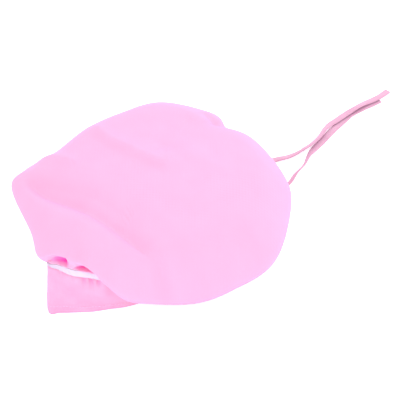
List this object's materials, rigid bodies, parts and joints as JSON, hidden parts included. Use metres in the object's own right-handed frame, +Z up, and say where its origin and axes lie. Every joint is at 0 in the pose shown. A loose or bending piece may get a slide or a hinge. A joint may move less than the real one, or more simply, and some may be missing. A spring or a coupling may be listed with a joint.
{
  "type": "chef hat",
  "caption": "Soft pink cloth chef hat with a full floppy crown gathered onto a headband with elastic trim, resting on the band, its back ties loose.",
  "frame": {"origin": "middle of the cloth's outline seen from above, on the surface that the band stands on", "axes": "+Z up out of the surface; +X the way the crown flops and the ties lead; the band's folded front corner is towards -X and -Y"},
  "size_m": [0.4109, 0.3397, 0.0989],
  "materials": {
    "band_cotton": "matte plain weave",
    "crown_cotton": "matte plain weave",
    "white_elastic": "matte ribbed elastic",
    "tie_tape": "matte woven tape"
  },
  "bodies": {
    "root": {"headband": "band_cotton", "seam_trim": "white_elastic", "crown": "crown_cotton", "tie_left": "tie_tape", "tie_right": "tie_tape"}
  },
  "joints": []
}
